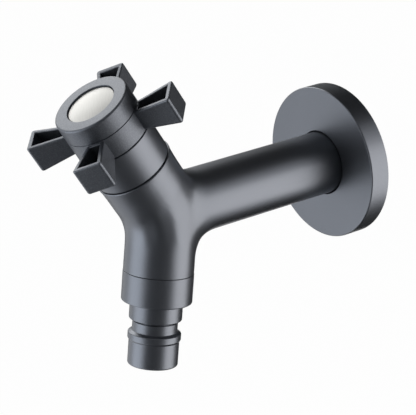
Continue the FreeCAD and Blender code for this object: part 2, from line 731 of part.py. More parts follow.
block_middle = mm.arm_angle + mm.quarter_turn / 2 + 180
block = sector(mm.stop_inner, (mm.stop_radius + mm.neck_outer) / 2, 360 - free_span, block_middle)
pad(housing, "stop_block", block, stop_floor, mm.stop_depth)

gasket = ring("housing_gasket", mm.chamber_radius, mm.gasket_radius, mm.mouth_level, hex_foot, valve_frame)
thrust_washer = ring("thrust_washer", mm.shank_radius + mm.thrust_bore_play, mm.thrust_radius,
                     thrust_foot, shoulder, valve_frame)

# Cartridge cover, a sleeve screwed on the housing's neck
cover_bore = mm.neck_outer + mm.thread_play
cover_inner = mm.cover_radius - mm.cover_wall
shadow_top = mm.mouth_level + mm.shadow_height
web_underside = cover_top - mm.cover_web
boss_foot = web_underside - mm.cover_boss_depth
cover = turned("cartridge_cover", [
    (cover_inner, mm.mouth_level),
    (mm.cover_radius - mm.shadow_depth, mm.mouth_level),
    (mm.cover_radius - mm.shadow_depth, shadow_top),
    (mm.cover_radius, shadow_top),
    (mm.cover_radius, cover_top - mm.cover_bevel),
    (mm.cover_radius - mm.cover_bevel, cover_top),
    (cover_bore, cover_top),
    (cover_bore, boss_foot),
    (mm.cover_boss, boss_foot),
    (mm.cover_boss, web_underside),
    (cover_inner, web_underside)], valve_frame)

# Spindle: driving prongs, carrier, shank with ring grooves, flats, clip groove and spline
spline_foot = hub_foot + mm.spline_lift
ring_levels = [shoulder + mm.lower_ring, shoulder + mm.lower_ring + mm.ring_spacing]
groove_half = mm.ring_groove / 2
ring_bed = mm.shank_radius - mm.ring_section * 2
spindle_corners = [(0, carrier_foot), (mm.carrier_radius, carrier_foot), (mm.carrier_radius, carrier_top),
                   (mm.shank_radius, carrier_top)]
for level in ring_levels:
    spindle_corners += [(mm.shank_radius, level - groove_half), (ring_bed, level - groove_half),
                        (ring_bed, level + groove_half), (mm.shank_radius, level + groove_half)]
spindle_corners += [
    (mm.shank_radius, stop_floor),
    (mm.upper_radius, stop_floor),
    (mm.upper_radius, clip_foot),
    (mm.clip_bed, clip_foot),
    (mm.clip_bed, clip_top),
    (mm.upper_radius, clip_top),
    (mm.upper_radius, spline_foot),
    (mm.spline_radius, spline_foot),
    (mm.spline_radius, spindle_top),
    (0, spindle_top)]
spindle = turned("spindle", spindle_corners, handle_frame)
prong_foot = turning_top - mm.notch_depth + mm.prong_play
prong_corners = sector(mm.notch_inner + mm.prong_play, mm.carrier_radius, mm.prong_span, 0)
prong = pad(spindle, "prong", prong_corners, prong_foot, carrier_foot - prong_foot + mm.carrier_height / 2)
around(spindle, prong, "prongs", 2)
flat = mm.upper_flats / 2
flat_corners = [(flat, -mm.shank_radius), (mm.shank_radius, -mm.shank_radius),
                (mm.shank_radius, mm.shank_radius), (flat, mm.shank_radius)]
flat_cut = pocket(spindle, "flat", flat_corners, clip_foot, clip_foot - stop_floor)
around(spindle, flat_cut, "flats", 2)
space_reach = mm.spline_radius + mm.spline_play * 2
tooth_space = pocket(spindle, "tooth_space",
                     [(mm.spline_root, 0), (space_reach, -mm.spline_space), (space_reach, mm.spline_space)],
                     spindle_top, spindle_top - spline_foot)
around(spindle, tooth_space, "tooth_spaces", mm.spline_teeth)
doc.recompute()
hole_sketch = new_sketch(spindle, "screw_hole_outline", "XY_Plane", spindle_top)
draw_circle(hole_sketch, mm.screw_radius + mm.screw_play)
screw_hole = spindle.newObject("PartDesign::Pocket", "screw_hole")
screw_hole.Profile = hole_sketch
bind(screw_hole, "Length", mm.screw_hole_depth)
spindle.Tip = screw_hole

spindle_rings = []
for label, level in zip(("spindle_o_ring_lower", "spindle_o_ring_upper"), ring_levels):
    section = mm.ring_section - mm.shank_play / 2
    spindle_rings.append(torus(label, ring_bed + section, section, level, handle_frame))

# Stop ring on the flats, held by the clip
stop_ring = ring("stop_ring", mm.upper_radius + mm.stop_ring_play, mm.stop_ring_radius,
                 stop_ring_foot, clip_foot, handle_frame)
lug_root = (mm.upper_radius + mm.stop_ring_radius) / 2
lug_corners = sector(lug_root, mm.lug_radius, mm.lug_span, 0)
pad(stop_ring, "stop_lug", lug_corners, stop_ring_foot, mm.stop_ring_height)
key_inner = flat + mm.stop_ring_play
key_half = mm.flat_key / 2
key_corners = [(key_inner, -key_half), (lug_root, -key_half), (lug_root, key_half), (key_inner, key_half)]
key = pad(stop_ring, "flat_key", key_corners, stop_ring_foot, mm.stop_ring_height)
around(stop_ring, key, "flat_keys", 2)

clip = ring("spindle_clip", mm.clip_bed, mm.clip_outer, clip_foot, clip_top, handle_frame)
doc.recompute()
pocket(clip, "clip_opening", sector(mm.clip_bed / 2, mm.clip_outer + CUT, mm.clip_gap, 180), clip_top,
       mm.clip_height + CUT)

# Bush between spline and handle
bush_foot = web_foot - mm.bush_flange_height
bush_bore = mm.spline_radius + mm.spline_play
spline_bush = turned("spline_bush", [
    (bush_bore, bush_foot),
    (mm.bush_flange, bush_foot),
    (mm.bush_flange, web_foot),
    (mm.bush_radius, web_foot),
    (mm.bush_radius, web_top),
    (bush_bore, web_top)], handle_frame)
doc.recompute()
tooth_corners = [(mm.spline_root + mm.spline_play * 2, 0),
                 (bush_bore + mm.spline_play, -(mm.spline_space - mm.spline_play)),
                 (bush_bore + mm.spline_play, mm.spline_space - mm.spline_play)]
bush_tooth = pad(spline_bush, "bush_tooth", tooth_corners, bush_foot, web_top - bush_foot)
around(spline_bush, bush_tooth, "bush_teeth", mm.spline_teeth)

# Cross handle: hub with a web, and four hollow arms open at the top
hub = turned("hub", [
    (mm.hub_recess, hub_foot),
    (mm.hub_radius - mm.cap_seam, hub_foot),
    (mm.hub_radius, hub_foot + mm.cap_seam),
    (mm.hub_radius, hub_top - mm.cap_seam),
    (mm.hub_radius - mm.cap_seam, hub_top),
    (mm.hub_recess, hub_top),
    (mm.hub_recess, web_top),
    (mm.bush_radius + mm.bush_play, web_top),
    (mm.bush_radius + mm.bush_play, web_foot),
    (mm.hub_recess, web_foot)], handle_frame)


def edge_names(feature, chosen):
    """Names of the edges that the test chooses."""
    edges = enumerate(feature.Shape.Edges, start=1)
    return ["Edge%d" % number for number, edge in edges if chosen(edge)]


def side_wedge(body, name, corners):
    """Cut a wedge right across an arm, drawn from the side."""
    sketch = new_sketch(body, name + "_outline", "XZ_Plane")
    draw_outline(sketch, corners)
    wedge = body.newObject("PartDesign::Pocket", name)
    wedge.Profile = sketch
    wedge.SideType = "Symmetric"
    bind(wedge, "Length", mm.arm_tip_half * 2 + CUT)
    body.Tip = wedge
    return wedge


def rim_edges(feature):
    """The edges of the pocket's mouth: the inner outline of the arm's top face."""
    holed = next(face for face in feature.Shape.Faces if len(face.Wires) == 2)
    inner = min(holed.Wires, key=lambda wire: wire.BoundBox.DiagonalLength)
    return edge_names(feature, lambda edge: any(edge.isSame(one) for one in inner.Edges))


def make_arm(number):
    """One arm, drawn along the frame's X axis: wider and taller at its tip, hollow from above."""
    label = "arm_%d" % number
    frame = handle_frame.multiply(Placement(Vector(), Rotation(ALONG_Z, 90 * number)))
    body = new_body(label, frame)
    root_top = hub_top - mm.arm_root_drop
    tip_top = hub_top + mm.arm_tip_rise
    tip_foot = hub_foot - mm.arm_tip_drop
    plan = [(mm.arm_root, -mm.arm_root_half), (mm.arm_tip, -mm.arm_tip_half),
            (mm.arm_tip, mm.arm_tip_half), (mm.arm_root, mm.arm_root_half)]
    pad(body, label + "_blank", plan, tip_foot, tip_top - tip_foot)
    side_wedge(body, label + "_over", [
        (mm.arm_root, root_top), (mm.arm_tip, tip_top), (mm.arm_root, tip_top)])
    trimmed = side_wedge(body, label + "_under", [
        (mm.arm_root, hub_foot), (mm.arm_root, tip_foot), (mm.arm_tip, tip_foot)])
    doc.recompute()
    rounding = body.newObject("PartDesign::Fillet", label + "_round")
    outer_start = mm.arm_root.value + CUT
    rounding.Base = (trimmed, edge_names(trimmed, lambda edge: edge.BoundBox.XMax > outer_start))
    bind(rounding, "Radius", mm.arm_round)
    body.Tip = rounding
    inner_root = mm.arm_root_half - mm.arm_wall
    inner_tip = mm.arm_tip_half - mm.arm_wall
    inner_end = mm.arm_tip - mm.arm_wall
    inner_start = mm.hub_radius + mm.arm_hub_wall
    hollow_plan = [(inner_start, -inner_root), (inner_end, -inner_tip),
                   (inner_end, inner_tip), (inner_start, inner_root)]
    hollow = pocket(body, label + "_pocket", hollow_plan, tip_top + CUT,
                    tip_top + CUT - hub_foot - mm.arm_floor)
    doc.recompute()
    rim = body.newObject("PartDesign::Fillet", label + "_rim")
    rim.Base = (hollow, rim_edges(hollow))
    bind(rim, "Radius", mm.arm_rim_round)
    body.Tip = rim
    return body


handle_cross = joined("handle_cross", [hub] + [make_arm(number) for number in range(4)])

# Washer and screw in the middle of the handle
handle_washer = ring("handle_washer", mm.flat_washer_bore, mm.flat_washer,
                     web_top, washer_top, handle_frame)
head_top = washer_top + mm.screw_head_height
handle_screw = turned("handle_screw", [
    (0, washer_top - mm.screw_depth),
    (mm.screw_radius, washer_top - mm.screw_depth),
    (mm.screw_radius, washer_top),
    (mm.screw_head, washer_top),
    (mm.screw_head, head_top - mm.screw_head_bevel),
    (mm.screw_head - mm.screw_head_bevel, head_top),
    (0, head_top)], handle_frame)
doc.recompute()
pocket(handle_screw, "screw_socket_cut", hexagon(mm.screw_socket), head_top, mm.socket_depth)

# Cap on the hub, its snap ring and the round index plate
index_hole = mm.index_radius + mm.index_play
stem_hole = mm.stem_radius + mm.stem_play
spigot_of_cap = hub_top - mm.cap_spigot_length
ring_level = hub_top - mm.cap_spigot_length / 2
ring_bed_of_cap = mm.hub_recess - mm.cap_ring_section * 2
handle_cap = turned("handle_cap", [
    (mm.cap_room, spigot_of_cap),
    (mm.cap_spigot, spigot_of_cap),
    (mm.cap_spigot, ring_level - mm.cap_ring_section),
    (ring_bed_of_cap, ring_level - mm.cap_ring_section),
    (ring_bed_of_cap, ring_level + mm.cap_ring_section),
    (mm.cap_spigot, ring_level + mm.cap_ring_section),
    (mm.cap_spigot, hub_top),
    (mm.hub_radius - mm.cap_seam, hub_top),
    (mm.hub_radius, hub_top + mm.cap_seam),
    (mm.hub_radius, cap_top - mm.cap_round, mm.cap_round),
    (mm.hub_radius - mm.cap_round, cap_top),
    (index_hole, cap_top),
    (index_hole, index_foot),
    (stem_hole, index_foot),
    (stem_hole, cap_floor_foot),
    (mm.cap_room, cap_floor_foot)], handle_frame)
cap_ring = torus("cap_ring", ring_bed_of_cap + mm.cap_ring_section, mm.cap_ring_section,
                 ring_level, handle_frame)

barb_top = cap_floor_foot - mm.index_play
barb_foot = barb_top - mm.barb_height
index_disc = turned("index_disc", [
    (mm.stem_radius - mm.stem_wall, barb_foot),
    (mm.stem_radius, barb_foot),
    (stem_hole + mm.barb_step, barb_top),
    (mm.stem_radius, barb_top),
    (mm.stem_radius, index_foot),
    (mm.index_radius, index_foot),
    (mm.index_radius, index_top - mm.index_bevel),
    (mm.index_radius - mm.index_bevel, index_top),
    (mm.index_radius - mm.index_rim, index_top),
    (0, index_top - mm.index_dish),
    (0, index_foot),
    (mm.stem_radius - mm.stem_wall, index_foot)], handle_frame)

# Escutcheon, a cup that slides on the barrel, and its grip ring
plate_bore = mm.barrel_radius + mm.escutcheon_play
boss_radius = plate_bore + mm.escutcheon_boss
plate_inside = mm.escutcheon_depth - mm.escutcheon_wall
grip_level = mm.escutcheon_depth - mm.grip_depth
grip_radius = mm.barrel_radius + mm.grip_play + mm.grip_section
escutcheon = turned("escutcheon", [
    (plate_bore, mm.escutcheon_boss_gap),
    (boss_radius, mm.escutcheon_boss_gap),
    (boss_radius, plate_inside),
    (mm.escutcheon_radius - mm.escutcheon_wall, plate_inside),
    (mm.escutcheon_radius - mm.escutcheon_wall, 0),
    (mm.escutcheon_radius, 0),
    (mm.escutcheon_radius, mm.escutcheon_depth - mm.escutcheon_bevel),
    (mm.escutcheon_radius - mm.escutcheon_bevel, mm.escutcheon_depth),
    (plate_bore, mm.escutcheon_depth),
    (plate_bore, grip_level + mm.grip_section),
    (grip_radius + mm.grip_section, grip_level + mm.grip_section),
    (grip_radius + mm.grip_section, grip_level - mm.grip_section),
    (plate_bore, grip_level - mm.grip_section)], wall_frame)
grip_ring = torus("escutcheon_grip_ring", grip_radius, mm.grip_section, grip_level, wall_frame)

PARTS = [valve_body, outlet_collar, outlet_washer, hose_nipple, seat_seal, fixed_disc, turning_disc,
         housing, gasket, thrust_washer, cover, spindle, stop_ring, clip, spline_bush, handle_cross,
         handle_washer, handle_screw, handle_cap, cap_ring, index_disc, escutcheon, grip_ring]
PARTS += spindle_rings

doc.recompute()
failed = [thing.Label for thing in doc.Objects if {"Invalid", "Error"} & set(thing.State)]
if failed:
    raise SystemExit("failed: " + ", ".join(failed))
for part in PARTS:
    if part.Shape.isNull() or not part.Shape.isValid() or not part.Shape.Solids:
        raise SystemExit("bad shape: " + part.Label)

os.makedirs("parts", exist_ok=True)
for part in PARTS:
    part.Shape.exportStep("parts/%s.step" % part.Label)
    print("%-26s %d solid, %.1f mm3" % (part.Label, len(part.Shape.Solids), part.Shape.Volume))
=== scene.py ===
import json
import math
from types import SimpleNamespace

import bmesh
import bpy
from mathutils import Matrix, Quaternion, Vector


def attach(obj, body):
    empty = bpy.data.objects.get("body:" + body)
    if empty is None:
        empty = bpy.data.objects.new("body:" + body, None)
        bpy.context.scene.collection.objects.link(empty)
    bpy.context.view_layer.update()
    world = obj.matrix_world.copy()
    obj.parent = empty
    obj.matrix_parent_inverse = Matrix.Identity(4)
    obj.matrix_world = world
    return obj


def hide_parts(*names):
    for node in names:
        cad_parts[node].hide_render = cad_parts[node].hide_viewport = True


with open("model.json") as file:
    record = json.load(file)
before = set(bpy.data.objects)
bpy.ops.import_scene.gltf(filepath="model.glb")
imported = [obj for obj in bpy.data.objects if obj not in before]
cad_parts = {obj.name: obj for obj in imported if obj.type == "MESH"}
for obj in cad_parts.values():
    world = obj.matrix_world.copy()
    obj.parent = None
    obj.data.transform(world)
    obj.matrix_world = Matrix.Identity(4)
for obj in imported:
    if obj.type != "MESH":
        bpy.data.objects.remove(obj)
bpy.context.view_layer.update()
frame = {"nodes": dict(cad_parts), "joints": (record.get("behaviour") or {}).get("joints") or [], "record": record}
nodes = frame["nodes"]
mounts = {mount["name"]: mount for mount in frame["record"]["mounts"]}
handle_joint = next(joint for joint in frame["joints"] if joint["name"] == "handle_turn")

# An outdoor wall tap with a quarter-turn cross handle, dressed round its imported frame.
# Pieces are drawn in millimetres round the axis that they are turned about.
MM = 0.001

# The axes of the tap, which meet in front of the wall
BONNET_TILT = 30
OUTLET_TILT = 10
ARM_ANGLE = 41.3
meeting = Matrix.Translation(handle_joint["pos_m"])
valve_place = meeting @ Matrix.Rotation(math.radians(BONNET_TILT), 4, "X")
outlet_place = meeting @ Matrix.Rotation(math.radians(180 - OUTLET_TILT), 4, "X")
handle_place = valve_place @ Matrix.Rotation(math.radians(ARM_ANGLE), 4, "Z")
wall_place = Matrix.Rotation(math.radians(90), 4, "X")

# The camera that took the photograph
CAMERA_AZIMUTH = 54.33
CAMERA_ELEVATION = 18.55
CAMERA_ROLL = -4.16
CAMERA_DISTANCE = 0.63187
CAMERA_TARGET = Vector((0.00362, -0.06658, -0.00283))
FOCAL_PIXELS = 1702.12
PHOTO_WIDTH = 416
SENSOR_WIDTH = 36


def toward(azimuth, elevation):
    """The direction of a place round the object, with azimuth 0 in front of the wall."""
    across, up = math.radians(azimuth), math.radians(elevation)
    return Vector((math.sin(across) * math.cos(up), -math.cos(across) * math.cos(up), math.sin(up)))


def add_camera():
    data = bpy.data.cameras.new("photo_camera")
    data.sensor_width = SENSOR_WIDTH
    data.lens = FOCAL_PIXELS * SENSOR_WIDTH / PHOTO_WIDTH
    camera = bpy.data.objects.new("photo_camera", data)
    back = toward(CAMERA_AZIMUTH, CAMERA_ELEVATION)
    camera.location = CAMERA_TARGET + back * CAMERA_DISTANCE
    camera.rotation_mode = "QUATERNION"
    roll = Quaternion((0, 0, 1), math.radians(CAMERA_ROLL))
    camera.rotation_quaternion = back.to_track_quat("Z", "Y") @ roll
    bpy.context.scene.collection.objects.link(camera)
    bpy.context.scene.camera = camera


add_camera()


class Socket:
    """One output of a node. Arithmetic on it adds Math nodes."""

    def __init__(self, graph, link):
        self.graph = graph
        self.link = link

    def maths(self, operation, first, second):
        return self.graph.node("ShaderNodeMath", {"operation": operation}, {0: first, 1: second})

    def __add__(self, other):
        return self.maths("ADD", self, other)

    def __sub__(self, other):
        return self.maths("SUBTRACT", self, other)

    def __rsub__(self, other):
        return self.maths("SUBTRACT", other, self)

    def __mul__(self, other):
        return self.maths("MULTIPLY", self, other)

    __radd__ = __add__
    __rmul__ = __mul__


class Graph:
    """The nodes of one material or of the world."""

    def __init__(self, owner):
        owner.use_nodes = True
        self.tree = owner.node_tree
        self.tree.nodes.clear()

    def node(self, kind, settings, sockets, output=0):
        """Add a node. Its settings and a ramp's stops are set first, then its sockets."""
        made = self.tree.nodes.new(kind)
        for name, value in settings.items():
            if name == "stops":
                self.set_stops(made.color_ramp, value)
            else:
                setattr(made, name, value)
        for name, value in sockets.items():
            if isinstance(value, Socket):
                self.tree.links.new(value.link, made.inputs[name])
            else:
                made.inputs[name].default_value = value
        return Socket(self, made.outputs[output]) if made.outputs else None

    def set_stops(self, ramp, stops):
        while len(ramp.elements) < len(stops):
            ramp.elements.new(1.0)
        for element, (place, shade) in zip(ramp.elements, stops):
            element.position = place
            element.color = (shade, shade, shade, 1)

    def object_place(self, turn=(0, 0, 0), centre=(0, 0, 0)):
        """Object coordinates, centred on a point and turned into a piece's own directions."""
        raw = self.node("ShaderNodeTexCoord", {}, {}, "Object")
        moved = self.node("ShaderNodeMapping", {"vector_type": "TEXTURE"},
                          {"Vector": raw, "Location": centre, "Rotation": turn})
        return moved

    def noise(self, place, scale, detail=2.0, roughness=0.5, stretch=None):
        if stretch:
            place = self.node("ShaderNodeVectorMath", {"operation": "MULTIPLY"}, {0: place, 1: stretch})
        return self.node("ShaderNodeTexNoise", {}, {
            "Vector": place, "Scale": scale, "Detail": detail, "Roughness": roughness}, "Fac")

    def ramp(self, value, stops):
        return self.node("ShaderNodeValToRGB", {"stops": stops}, {"Fac": value})

    def blend(self, share, first, second):
        """Mix two colours."""
        return self.node("ShaderNodeMix", {"data_type": "RGBA"}, {0: share, 6: first, 7: second}, 2)

    def bump(self, height, distance, strength=1.0):
        return self.node("ShaderNodeBump", {}, {
            "Height": height, "Distance": distance, "Strength": strength})


def colour(red, green, blue):
    return (red, green, blue, 1)


def finish_material(name, make):
    """A material whose shader is written by the function make."""
    material = bpy.data.materials.new(name)
    graph = Graph(material)
    shader = make(graph)
    graph.node("ShaderNodeOutputMaterial", {}, {"Surface": shader})
    return material


# Grain sizes, as noise cells to the metre
FINE_GRAIN = 4200
SAND_GRAIN = 2300
SOFT_CLOUD = 35


def satin_coat(graph):
    """Gunmetal coat: a dark metallic paint, faintly uneven, with a fine grain."""
    place = graph.object_place()
    cloud = graph.noise(place, SOFT_CLOUD, 3.0)
    grain = graph.noise(place, FINE_GRAIN, 2.0, 0.6)
    base = graph.blend(cloud, colour(0.128, 0.138, 0.158), colour(0.150, 0.160, 0.182))
    base = graph.blend(graph.ramp(grain, [(0.5, 0.0), (0.8, 0.3)]), base, colour(0.19, 0.20, 0.22))
    return graph.node("ShaderNodeBsdfPrincipled", {}, {
        "Base Color": base,
        "Metallic": 0.88,
        "Roughness": cloud * 0.05 + grain * 0.04 + 0.33,
        "Normal": graph.bump(grain, 0.00002, 0.4)})


def sand_coat(graph):
    """The handle's coat: the same paint with a sandy grain that dulls it."""
    place = graph.object_place()
    cloud = graph.noise(place, SOFT_CLOUD, 3.0)
    sand = graph.noise(place, SAND_GRAIN, 3.0, 0.7)
    base = graph.blend(cloud, colour(0.104, 0.114, 0.134), colour(0.121, 0.131, 0.151))
    base = graph.blend(graph.ramp(sand, [(0.45, 0.0), (0.7, 0.6)]), base, colour(0.21, 0.22, 0.24))
    return graph.node("ShaderNodeBsdfPrincipled", {}, {
        "Base Color": base,
        "Metallic": 0.82,
        "Roughness": sand * 0.12 + 0.38,
        "Normal": graph.bump(sand, 0.00005, 0.6)})


# The plate's brushing: its direction and its streaks, and a painted sheen that fades it from pale on one side to
# dark on the other
BRUSH_TURN = 140
BRUSH_SCALE = 400
BRUSH_STRETCH = (0.6, 14, 1)
PLATE_CLOUD = 120
PAINTED_SHEEN_FADE = 40


def brushed_plate(graph):
    """Pale metal brushed one way across the plate, with a painted reflection that makes it paler toward one side.
    """
    turn = (math.radians(BONNET_TILT), 0, 0)
    place = graph.object_place(turn, tuple(handle_joint["pos_m"]))
    along = graph.node("ShaderNodeVectorRotate", {"rotation_type": "Z_AXIS"},
                       {"Vector": place, "Angle": math.radians(-BRUSH_TURN)})
    streaks = graph.noise(along, BRUSH_SCALE, 3.0, 0.6, BRUSH_STRETCH)
    cloud = graph.noise(place, PLATE_CLOUD, 2.0)
    across = graph.node("ShaderNodeSeparateXYZ", {}, {"Vector": place})
    # The streaks are mixed with a painted reflection: the colour is paler at one side of the plate and darker at
    # the other
    streaks_and_painted_sheen = graph.ramp(streaks * 0.5 - across * PAINTED_SHEEN_FADE + 0.25, [(0.0, 0.0), (1.0, 1.0)])
    base = graph.blend(streaks_and_painted_sheen, colour(0.18, 0.182, 0.18), colour(0.56, 0.56, 0.555))
    return graph.node("ShaderNodeBsdfPrincipled", {}, {
        "Base Color": base,
        "Metallic": 1.0,
        "Roughness": streaks * 0.16 + cloud * 0.05 + 0.38,
        "Normal": graph.bump(streaks, 0.00001, 0.6)})


def turned_metal(pale, dark, scale):
    """Bare metal with the fine rings of a lathe."""

    def make(graph):
        place = graph.object_place()
        tool_marks = graph.noise(place, scale, 2.0, 0.5, (0.3, 1, 3))
        return graph.node("ShaderNodeBsdfPrincipled", {}, {
            "Base Color": graph.blend(tool_marks, dark, pale),
            "Metallic": 1.0,
            "Roughness": tool_marks * 0.15 + 0.22,
            "Normal": graph.bump(tool_marks, 0.00001, 0.5)})

    return make


def moulded(pale, dark, roughness, scale):
    """Rubber, plastic or ceramic with a faint skin."""

    def make(graph):
        skin = graph.noise(graph.object_place(), scale, 3.0, 0.6)
        return graph.node("ShaderNodeBsdfPrincipled", {}, {
            "Base Color": graph.blend(skin, dark, pale),
            "Roughness": skin * 0.1 + roughness,
            "Normal": graph.bump(skin, 0.00002, 0.4)})

    return make


materials = {
    "dark_coat": finish_material("satin_coat", satin_coat),
    "handle_coat": finish_material("sand_coat", sand_coat),
    "brushed_insert": finish_material("brushed_plate", brushed_plate),
    "bare_brass": finish_material("turned_brass", turned_metal(
        colour(0.78, 0.60, 0.30), colour(0.62, 0.45, 0.20), 900)),
    "plain_steel": finish_material("turned_steel", turned_metal(
        colour(0.66, 0.66, 0.67), colour(0.48, 0.48, 0.50), 900)),
    "seal_rubber": finish_material("seal_rubber", moulded(
        colour(0.030, 0.030, 0.031), colour(0.015, 0.015, 0.016), 0.5, 1500)),
    "ceramic": finish_material("white_ceramic", moulded(
        colour(0.86, 0.85, 0.82), colour(0.78, 0.77, 0.74), 0.12, 600)),
    "bush_plastic": finish_material("bush_plastic", moulded(
        colour(0.80, 0.80, 0.77), colour(0.70, 0.70, 0.67), 0.4, 900)),
}

slot_of = {part["node"]: part["material_slot"] for part in frame["record"]["subparts"]}
for name, node in nodes.items():
    node.data.materials.clear()
    node.data.materials.append(materials[slot_of[name]])


CREASE = math.radians(32)


def place_piece(name, mesh, body, slot, place, *stands_for):
    """Turn a bmesh, drawn in millimetres, into a piece that rides on a body."""
    bmesh.ops.transform(mesh, matrix=place @ Matrix.Scale(MM, 4), verts=mesh.verts)
    for face in mesh.faces:
        face.smooth = True
    data = bpy.data.meshes.new(name)
    mesh.to_mesh(data)
    mesh.free()
    data.set_sharp_from_angle(angle=CREASE)
    data.materials.append(materials[slot])
    piece = bpy.data.objects.new(name, data)
    bpy.context.scene.collection.objects.link(piece)
    level = piece.modifiers.new("flat_faces_stay_flat", "WEIGHTED_NORMAL")
    level.keep_sharp = True
    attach(piece, body)
    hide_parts(*stands_for)


TURN_STEPS = 144
ROUND_STEPS = 4
MERGE_GAP = 0.0001
SAME_PLACE = 0.001


def measured(name, place, within=math.inf):
    """What a CAD node spans along an axis and across it, in millimetres."""
    to_axis = place.inverted()
    points = [to_axis @ vertex.co / MM for vertex in nodes[name].data.vertices]
    points = [point for point in points if math.hypot(point.x, point.y) < within]
    return SimpleNamespace(
        near=min(point.z for point in points),
        far=max(point.z for point in points),
        outer=max(math.hypot(point.x, point.y) for point in points),
        bore=min(math.hypot(point.x, point.y) for point in points),
        reach=max(point.x for point in points))


def turned(corners):
    """A bmesh turned about Z from an outline of (radius, level, rounding) corners."""
    mesh = bmesh.new()
    outline = [mesh.verts.new((radius, 0, level)) for radius, level, _ in corners]
    sides = [mesh.edges.new((outline[place - 1], corner)) for place, corner in enumerate(outline)]
    bmesh.ops.spin(mesh, geom=outline + sides, axis=(0, 0, 1), angle=math.tau, steps=TURN_STEPS,
                   use_merge=True, use_duplicate=False)
    bmesh.ops.remove_doubles(mesh, verts=mesh.verts, dist=MERGE_GAP)
    on_axis = [edge for edge in mesh.edges if edge.is_wire]
    bmesh.ops.delete(mesh, geom=on_axis, context="EDGES")
    bmesh.ops.recalc_face_normals(mesh, faces=mesh.faces)
    for radius, level, rounding in corners:
        if rounding > 0:
            round_ring(mesh, radius, level, rounding)
    return mesh


def round_ring(mesh, radius, level, rounding):
    """Round the edge that runs round the piece at one radius and level."""

    def on_ring(vertex):
        return (abs(math.hypot(vertex.co.x, vertex.co.y) - radius) < SAME_PLACE
                and abs(vertex.co.z - level) < SAME_PLACE)

    round_edges(mesh, [edge for edge in mesh.edges if all(on_ring(vertex) for vertex in edge.verts)],
                rounding)


def round_edges(mesh, edges, rounding):
    bmesh.ops.bevel(mesh, geom=edges, offset=rounding, offset_type="OFFSET", segments=ROUND_STEPS,
                    profile=0.5, affect="EDGES", material=-1)


# Small edges and clearances shared by the pieces
HAIR = 0.12
SEAM = 0.2
SOFT_EDGE = 0.35

# Cover: a plain sleeve with a shadow groove over the body's mouth
cover = measured("cartridge_cover", valve_place)
SHADOW_HEIGHT = 0.5
SHADOW_DEPTH = 0.8
COVER_WALL = 1.5
NECK_BORE = 8.05
NECK_STEP = 30.3
ROOM_RADIUS = 10.2
ROOF = 2.0
place_piece("cover_sleeve", turned([
    (cover.outer - COVER_WALL, cover.near, 0),
    (cover.outer - SHADOW_DEPTH, cover.near, 0),
    (cover.outer - SHADOW_DEPTH, cover.near + SHADOW_HEIGHT, 0),
    (cover.outer, cover.near + SHADOW_HEIGHT, HAIR),
    (cover.outer, cover.far, SOFT_EDGE),
    (NECK_BORE, cover.far, HAIR),
    (NECK_BORE, NECK_STEP, 0),
    (ROOM_RADIUS, NECK_STEP, 0),
    (ROOM_RADIUS, cover.far - ROOF, 0),
    (cover.outer - COVER_WALL, cover.far - ROOF, 0)]),
    "tap_body", "dark_coat", valve_place, "cartridge_cover")

# Crisp band round the body's mouth, with an edge that catches the light
LIP_HEIGHT = 0.9
LIP_STEP = 0.4
LIP_PROUD = 0.2
LIP_OVERLAP = 0.03
LIP_ROUND = 0.38
lip_radius = cover.outer + LIP_STEP
place_piece("mouth_band", turned([
    (cover.outer - LIP_STEP, cover.near - LIP_HEIGHT, 0),
    (lip_radius, cover.near - LIP_HEIGHT, HAIR),
    (lip_radius, cover.near + LIP_OVERLAP, LIP_ROUND),
    (cover.outer - LIP_STEP, cover.near + LIP_OVERLAP, 0)]),
    "tap_body", "dark_coat", valve_place)

# Body: the casting, softened by its mould and coat, and its crisp threaded tail
BODY_CUT = 3.0
CELL = 0.55
SOFTENING = ((1.4, 6), (3, 12), (5, 12), (7, 12))
SOFT_SHARE = 0.5
BARREL_MARGINS = 4
BARREL_KEEP = 12.0
LIP_FADE = 6.0
EDGE_BAND = 1.6
EDGE_REACH = 0.35
SKIN_DEPTH = 0.6
nut = measured("outlet_collar", outlet_place)
shoulder_level = nut.near - SEAM


def half_of_body(way):
    """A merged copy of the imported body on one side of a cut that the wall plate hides."""
    mesh = bmesh.new()
    mesh.from_mesh(nodes["valve_body"].data)
    bmesh.ops.scale(mesh, vec=(1 / MM, 1 / MM, 1 / MM), verts=mesh.verts)
    bmesh.ops.remove_doubles(mesh, verts=mesh.verts, dist=SAME_PLACE)
    cut = bmesh.ops.bisect_plane(mesh, geom=mesh.verts[:] + mesh.edges[:] + mesh.faces[:],
                                 plane_co=(0, -BODY_CUT, 0), plane_no=(0, way, 0), clear_outer=True)
    bmesh.ops.bridge_loops(mesh, edges=[part for part in cut["geom_cut"]
                                        if isinstance(part, bmesh.types.BMEdge)])
    bmesh.ops.recalc_face_normals(mesh, faces=mesh.faces)
    return mesh


def in_even_cells(mesh):
    """The same form on a mesh of even cells."""
    data = bpy.data.meshes.new("casting")
    mesh.to_mesh(data)
    mesh.free()
    thing = bpy.data.objects.new("casting", data)
    bpy.context.scene.collection.objects.link(thing)
    cells = thing.modifiers.new("cells", "REMESH")
    cells.mode = "VOXEL"
    cells.voxel_size = CELL
    whole = bmesh.new()
    whole.from_object(thing, bpy.context.evaluated_depsgraph_get())
    bpy.data.meshes.remove(data)
    return whole


def in_millimetres(place):
    """From the tap's place to one of its axes, both in millimetres."""
    return Matrix.Scale(1 / MM, 4) @ place.inverted() @ Matrix.Scale(MM, 4)


def soften(mesh):
    """Soften a casting all over, and more where its legs and barrel blend."""
    to_valve, to_outlet = in_millimetres(valve_place), in_millimetres(outlet_place)
    for margin, passes in SOFTENING:
        inner = [vertex for vertex in mesh.verts
                 if (to_valve @ vertex.co).z < cover.near - margin
                 and (to_outlet @ vertex.co).z < shoulder_level - margin
                 and vertex.co.y < -min(margin * BARREL_MARGINS, BARREL_KEEP)]
        for _ in range(passes):
            bmesh.ops.smooth_vert(mesh, verts=inner, factor=SOFT_SHARE,
                                  use_axis_x=True, use_axis_y=True, use_axis_z=True)


